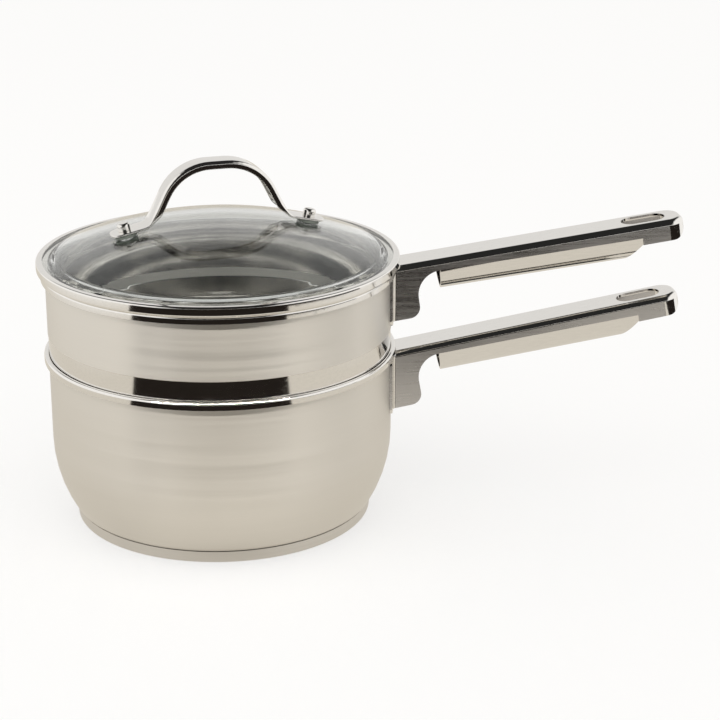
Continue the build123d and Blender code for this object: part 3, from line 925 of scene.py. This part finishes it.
def lid_handle_mesh(size):
    path = arch_path(size)
    travelled = [0.0]
    for before, after in zip(path, path[1:]):
        travelled.append(travelled[-1] + (after - before).length)
    whole = travelled[-1]
    foot = size.foot_reach - size.foot_bend
    body = bmesh.new()
    rings = []
    for index, point in enumerate(path):
        along = (path[min(index + 1, len(path) - 1)] - path[max(index - 1, 0)]).normalized()
        up = Vector((-along.y, along.x))
        near = min(travelled[index], whole - travelled[index])
        rise = min(1.0, max(0.0, (near - foot) / size.taper))
        rise = rise * rise * (3 - 2 * rise)
        flange = size.grip_sheet * 1.02 + (size.grip_flange - size.grip_sheet) * rise
        edge = size.grip_sheet * FOOT_EDGE_SHARE
        corner = edge + (size.grip_round - edge) * rise
        half = size.grip_width / 2
        if near < size.foot_round:
            away = size.foot_round - near
            half += math.sqrt(max(size.foot_round ** 2 - away ** 2, 0.0)) - size.foot_round
        section = strap_ring(size, half, flange, corner)
        rings.append([body.verts.new((point.x - up.x * depth, across, point.y - up.y * depth))
                      for across, depth in section])
    for first, second in zip(rings, rings[1:]):
        count = len(first)
        for index in range(count):
            after = (index + 1) % count
            body.faces.new((first[index], first[after], second[after], second[index]))
    body.faces.new(rings[0])
    body.faces.new(rings[-1][::-1])
    bmesh.ops.rotate(body, cent=(0, 0, 0), matrix=Matrix.Rotation(size.turn, 3, "Z"), verts=body.verts)
    mesh = bpy.data.meshes.new("lid_handle_strap")
    body.to_mesh(mesh)
    body.free()
    return mesh


def refined_copy(name, node):
    """A smooth copy of a folded CAD piece, with its cut edges softened."""
    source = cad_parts[node]
    mesh = source.data.copy()
    piece = mesh_object(name, mesh)
    body = bmesh.new()
    body.from_mesh(mesh)
    bmesh.ops.remove_doubles(body, verts=body.verts, dist=HANDLE_MERGE)
    bmesh.ops.recalc_face_normals(body, faces=body.faces)
    bmesh.ops.dissolve_limit(body, angle_limit=HANDLE_DISSOLVE, verts=body.verts, edges=body.edges)
    body.to_mesh(mesh)
    body.free()
    mesh.shade_smooth()
    edge = piece.modifiers.new("cut edges", "BEVEL")
    edge.width = CUT_EDGE
    edge.segments = 2
    edge.limit_method = "ANGLE"
    edge.angle_limit = CUT_ANGLE
    edge.use_clamp_overlap = True
    weigh = piece.modifiers.new("normals", "WEIGHTED_NORMAL")
    weigh.mode = "FACE_AREA"
    weigh.weight = 80
    weigh.keep_sharp = True
    mesh.set_sharp_from_angle(angle=CUT_ANGLE)
    return plain(piece)


def folded_handle(name, node, body):
    """One of the two folded handles: polished, with brushed flat sides."""
    made = finishes()
    piece = refined_copy(name, node)
    piece.data.materials.clear()
    piece.data.materials.append(made["polished_steel"])
    piece.data.materials.append(made["handle_side"])
    for face in piece.data.polygons:
        if abs(face.normal.y) > FLAT_SIDE:
            face.material_index = 1
    mark_creases(piece.data)
    level_sides(piece.data)
    belongs(piece, body, "handle_steel", node)


def level_sides(mesh):
    """Shade the flat sides as planes, whatever the edges round them do."""
    normals = [corner.vector.copy() for corner in mesh.corner_normals]
    for face in mesh.polygons:
        if face.material_index == 1:
            for index in face.loop_indices:
                normals[index] = face.normal.copy()
    mesh.normals_split_custom_set(normals)


def mark_creases(mesh):
    """Sharp edges where a flat side ends at the curl of a wing."""
    body = bmesh.new()
    body.from_mesh(mesh)
    body.faces.ensure_lookup_table()
    for edge in body.edges:
        if len(edge.link_faces) == 2:
            kinds = {face.material_index for face in edge.link_faces}
            below = min(face.normal.z for face in edge.link_faces) < -0.03
            if len(kinds) == 2 and below:
                edge.smooth = False
    body.to_mesh(mesh)
    body.free()


class BOILER_OT_saucepan(bpy.types.Operator):
    """Turn the saucepan's shell and the cap under its base"""

    bl_idname = "boiler.saucepan"
    bl_label = "Saucepan"

    def execute(self, context):
        size = context.scene.boiler_vessels
        shell = turned("saucepan_body", *saucepan_shell_section(size), "satin_wall")
        belongs(shell, "saucepan", "vessel_steel", "saucepan_shell")
        cap = turned("saucepan_base", *base_cap_section(size), "base_satin")
        belongs(cap, "saucepan", "base_steel", "base_cap")
        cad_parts["base_core_disc"].material_slots[0].material = finishes()["aluminium"]
        return {"FINISHED"}


class BOILER_OT_insert(bpy.types.Operator):
    """Turn the stepped insert that hangs in the saucepan's mouth"""

    bl_idname = "boiler.insert"
    bl_label = "Insert"

    def execute(self, context):
        size = context.scene.boiler_vessels
        shell = turned("insert_body", *insert_shell_section(size), "satin_wall")
        belongs(shell, "insert", "vessel_steel", "insert_shell")
        return {"FINISHED"}


class BOILER_OT_handles(bpy.types.Operator):
    """Finish the two handles folded from sheet"""

    bl_idname = "boiler.handles"
    bl_label = "Folded handles"

    def execute(self, context):
        folded_handle("saucepan_grip", "saucepan_handle", "saucepan")
        folded_handle("insert_grip", "insert_handle", "insert")
        return {"FINISHED"}


class BOILER_OT_lid(bpy.types.Operator):
    """Turn the domed glass and its steel band"""

    bl_idname = "boiler.lid"
    bl_label = "Lid"

    def execute(self, context):
        size = context.scene.boiler_lid
        glass = turned("lid_dome", *glass_section(size), "tempered_glass")
        drill(glass, size)
        belongs(glass, "lid", "lid_glass", "lid_glass")
        band = turned("lid_band", *rim_band_section(size), "polished_steel")
        belongs(band, "lid", "band_steel", "lid_rim_band")
        return {"FINISHED"}


class BOILER_OT_lid_handle(bpy.types.Operator):
    """Bend the arched strap of the lid"""

    bl_idname = "boiler.lid_handle"
    bl_label = "Lid handle"

    def execute(self, context):
        strap = mesh_object("lid_arch", lid_handle_mesh(context.scene.boiler_lid))
        strap.data.shade_smooth()
        strap.data.materials.append(finishes()["polished_steel"])
        face_outward(strap)
        belongs(strap, "lid", "lid_handle_steel", "lid_handle")
        return {"FINISHED"}


class BOILER_OT_fixings(bpy.types.Operator):
    """Stand the nuts, pads, washers and screws at both feet of the lid's handle"""

    bl_idname = "boiler.fixings"
    bl_label = "Lid fixings"

    def execute(self, context):
        size = context.scene.boiler_lid
        bore = size.screw_diameter / 2 + 0.0001
        seal = size.seal_diameter / 2
        inner = size.crown_radius - size.glass
        under = -size.glass - (inner - math.sqrt(inner ** 2 - seal ** 2))
        washer = under - size.lower_seal - size.washer
        foot = size.upper_seal + size.grip_sheet
        top = foot + size.nut_height
        half = size.nut_diameter / 2
        nut = rounded([(0, foot), (half, foot), (half, top), (0, top)], [0, 0.0002, size.nut_dome, 0])
        at_both_screws("cap_nuts", nut, "machined_steel", "fixing_steel", size)
        upper = ring_line(seal, bore, 0, size.upper_seal, 0.0005)
        at_both_screws("upper_seals", upper, "silicone", "lid_silicone", size)
        lower = ring_line(seal, bore, under - size.lower_seal, under, 0.0005)
        at_both_screws("lower_seals", lower, "silicone", "lid_silicone", size)
        ring = ring_line(size.washer_diameter / 2, bore, washer, washer + size.washer, 0.0002)
        at_both_screws("washers", ring, "machined_steel", "fixing_steel", size)
        head = washer - size.head_height
        screw = rounded(
            [(0, head), (size.screw_head / 2, head), (size.screw_head / 2, washer),
             (size.screw_diameter / 2, washer), (size.screw_diameter / 2, foot + 0.0027), (0, foot + 0.0027)],
            [0, 0.0008, 0.0001, 0, 0.0003, 0])
        at_both_screws("lid_screws", screw, "machined_steel", "fixing_steel", size)
        return {"FINISHED"}


def sector(name, starts, end, left, right, height):
    """Flat part of a ring on the floor, about the vessels' axis and the line to the camera."""
    settings = bpy.context.scene.boiler_stage
    forward = -math.pi / 2 - settings.camera_right
    body = bmesh.new()
    steps = 48
    rows = []
    for step in range(steps + 1):
        turn = forward - left + (left + right) * step / steps
        ray = Vector((math.cos(turn), math.sin(turn), 0))
        start = starts[0] + (starts[1] - starts[0]) * step / steps
        rows.append([body.verts.new(ray * reach + Vector((0, 0, height))) for reach in (start, end)])
    for first, second in zip(rows, rows[1:]):
        body.faces.new((first[0], first[1], second[1], second[0]))
    mesh = bpy.data.meshes.new(name)
    body.to_mesh(mesh)
    body.free()
    return mesh_object(name, mesh)


def make_world(scene):
    """Studio surroundings, bright low down behind and on both sides, and dark overhead and in front.

    Rays that leave through the glass meet a more even light, which shows the inside of the insert.
    """
    settings = scene.boiler_stage
    world = bpy.data.worlds.new("studio")
    world.use_nodes = True
    scene.world = world
    made = Finish(world.node_tree)
    towards = made.value("ShaderNodeTexCoord", name="Generated")
    parts = made.node("ShaderNodeSeparateXYZ", {}, {"Vector": towards})
    across, ahead, up = (made.out(parts, index) for index in range(3))
    path = made.node("ShaderNodeLightPath")
    camera, diffuse, through = (made.out(path, name) for name in
                                ("Is Camera Ray", "Is Diffuse Ray", "Is Transmission Ray"))
    aside = across.absolute()
    behind = made.span(ahead, *BEHIND_AHEAD, 0.0, settings.back_light) * made.span(up, *BEHIND_UP, 1.0, 0.0)
    sides = made.span(aside, *SIDES_ACROSS, 0.0, settings.side_light) * made.span(up, *SIDES_UP, 1.0, 0.0)
    inner = made.span(aside, *INNER_ACROSS, settings.inner_middle, settings.inner_sides)
    inner = inner * made.span(up, *INNER_UP, 1.0, 0.0)
    lit = behind.greater_of(sides).greater_of(settings.overhead).greater_of(through * inner)
    strength = lit.greater_of(camera).greater_of(diffuse * settings.soft_light)
    shade = made.blend(camera, rgba(WARM_WHITE), rgba(WHITE))
    back = made.node("ShaderNodeBackground", {}, {"Color": shade, "Strength": strength})
    made.node("ShaderNodeOutputWorld", {}, {"Surface": made.out(back)})


def make_floor(settings):
    """Pale floor. For reflections it glows white far out at the sides, and darker and yellower close by,
    which is painted shade round the vessels.
    """
    half = settings.floor_size / 2
    mesh = bpy.data.meshes.new("floor")
    corners = [(-half, -half, 0), (half, -half, 0), (half, half, 0), (-half, half, 0)]
    mesh.from_pydata(corners, [], [(0, 1, 2, 3)])
    floor = mesh_object("floor", mesh)
    material, finish = new_material("floor")
    path = finish.node("ShaderNodeLightPath")
    camera, glossy, through = (finish.out(path, name) for name in
                               ("Is Camera Ray", "Is Glossy Ray", "Is Transmission Ray"))
    where = finish.value("ShaderNodeTexCoord", name="Object")
    parts = finish.node("ShaderNodeSeparateXYZ", {}, {"Vector": where})
    # Painted shade: reflections see the floor glow darker and yellower near the vessels, and white far out to
    # the sides
    aside = finish.span(finish.out(parts, 0).absolute(), *FLOOR_SHADE_FADE, 0.0, 1.0)
    floor_tone_with_painted_shade = finish.blend(aside, rgba(settings.floor_near_shade), rgba(settings.floor_far))
    paper = finish.node("ShaderNodeBsdfDiffuse", {}, {"Color": rgba(PAPER)})
    white = finish.node("ShaderNodeEmission", {}, {"Color": rgba(WHITE), "Strength": 1.0})
    both = finish.node("ShaderNodeMixShader", {}, {
        0: camera.greater_of(through) * settings.floor_white, 1: finish.out(paper), 2: finish.out(white)})
    # Glow seen only in reflections, with the painted shade by the vessels in its colour
    floor_glow_with_painted_shade = finish.node("ShaderNodeEmission", {}, {"Color": floor_tone_with_painted_shade, "Strength": 1.0})
    seen = finish.node("ShaderNodeMixShader", {}, {0: glossy, 1: finish.out(both), 2: finish.out(floor_glow_with_painted_shade)})
    finish.node("ShaderNodeOutputMaterial", {}, {"Surface": finish.out(seen)})
    mesh.materials.append(material)


def make_cards(settings):
    """Dark cards on the floor, seen only in reflections: a wide one in front and one on the right."""
    starts = (settings.card_start, settings.card_start_right)
    right = settings.card_right
    wide = sector("dark_card", starts, settings.card_end, settings.card_left, right, CARD_HEIGHT)
    side = sector("side_card", (settings.side_card, settings.side_card), settings.card_end, -right,
                  SIDE_CARD_SPREAD * right, CARD_HEIGHT)
    material, finish = new_material("dark_card")
    dull = finish.node("ShaderNodeBsdfDiffuse", {}, {"Color": rgba(CARD_BLACK)})
    finish.node("ShaderNodeOutputMaterial", {}, {"Surface": finish.out(dull)})
    for card in (wide, side):
        card.data.materials.append(material)
        for flag in ("visible_camera", "visible_diffuse", "visible_shadow", "visible_transmission"):
            setattr(card, flag, False)


def make_lamp(name, place, target, size, power):
    lamp = bpy.data.lights.new(name, "AREA")
    lamp.shape = "RECTANGLE"
    lamp.size, lamp.size_y = size
    lamp.energy = power
    made = bpy.data.objects.new(name, lamp)
    made.location = place
    made.rotation_euler = (Vector(target) - Vector(place)).to_track_quat("-Z", "Y").to_euler()
    made.visible_glossy = False
    made.visible_transmission = False
    bpy.context.scene.collection.objects.link(made)
    return made


def light_only(lamp, *names):
    """Let a lamp reach some pieces alone, and show in their brushed steel."""
    lit = bpy.data.collections.new(lamp.name + " receivers")
    for name in names:
        lit.objects.link(bpy.data.objects[name])
    lamp.light_linking.receiver_collection = lit
    lamp.visible_glossy = True


class BOILER_OT_stage(bpy.types.Operator):
    """Set up the camera, the floor, the cards and the lamps"""

    bl_idname = "boiler.stage"
    bl_label = "Stage"

    def execute(self, context):
        scene = context.scene
        settings = scene.boiler_stage
        scene.view_settings.view_transform = "Standard"
        make_world(scene)
        make_floor(settings)
        make_cards(settings)
        make_lamp("key", KEY_PLACE, LAMP_TARGET, KEY_SIZE, settings.key_power)
        front = make_lamp("front", FRONT_PLACE, LAMP_TARGET, FRONT_SIZE, settings.front_power)
        front.data.color = FRONT_TINT
        light_only(front, "saucepan_body", "insert_body")
        camera = bpy.data.objects.new("camera", bpy.data.cameras.new("camera"))
        camera.location = settings.camera_place
        camera.rotation_euler = (math.pi / 2 - settings.camera_down, 0, -settings.camera_right)
        camera.data.lens = settings.lens
        scene.collection.objects.link(camera)
        scene.camera = camera
        return {"FINISHED"}


class BOILER_PT_panel(bpy.types.Panel):
    """Lists the pieces in the order in which they are made"""

    bl_idname = "BOILER_PT_panel"
    bl_label = "Double boiler"
    bl_space_type = "VIEW_3D"
    bl_region_type = "UI"
    bl_category = "Double boiler"

    def draw(self, context):
        for operator in OPERATORS:
            self.layout.operator(operator.bl_idname)
        for group in (context.scene.boiler_vessels, context.scene.boiler_lid, context.scene.boiler_finishes,
                      context.scene.boiler_stage):
            box = self.layout.box()
            for name in group.__annotations__:
                box.prop(group, name)


GROUPS = {
    "boiler_vessels": VesselSizes,
    "boiler_lid": LidSizes,
    "boiler_finishes": FinishColours,
    "boiler_stage": StageSettings,
}
OPERATORS = (
    BOILER_OT_saucepan, BOILER_OT_insert, BOILER_OT_handles, BOILER_OT_lid, BOILER_OT_lid_handle,
    BOILER_OT_fixings, BOILER_OT_stage,
)


def register():
    for made in (*GROUPS.values(), *OPERATORS, BOILER_PT_panel):
        bpy.utils.register_class(made)
    for name, group in GROUPS.items():
        setattr(bpy.types.Scene, name, PointerProperty(type=group))


def unregister():
    for name in GROUPS:
        delattr(bpy.types.Scene, name)
    for made in (BOILER_PT_panel, *OPERATORS[::-1], *tuple(GROUPS.values())[::-1]):
        bpy.utils.unregister_class(made)


def main():
    register()
    bpy.ops.boiler.saucepan()
    bpy.ops.boiler.insert()
    bpy.ops.boiler.handles()
    bpy.ops.boiler.lid()
    bpy.ops.boiler.lid_handle()
    bpy.ops.boiler.fixings()
    bpy.ops.boiler.stage()


if __name__ == "__main__":
    main()
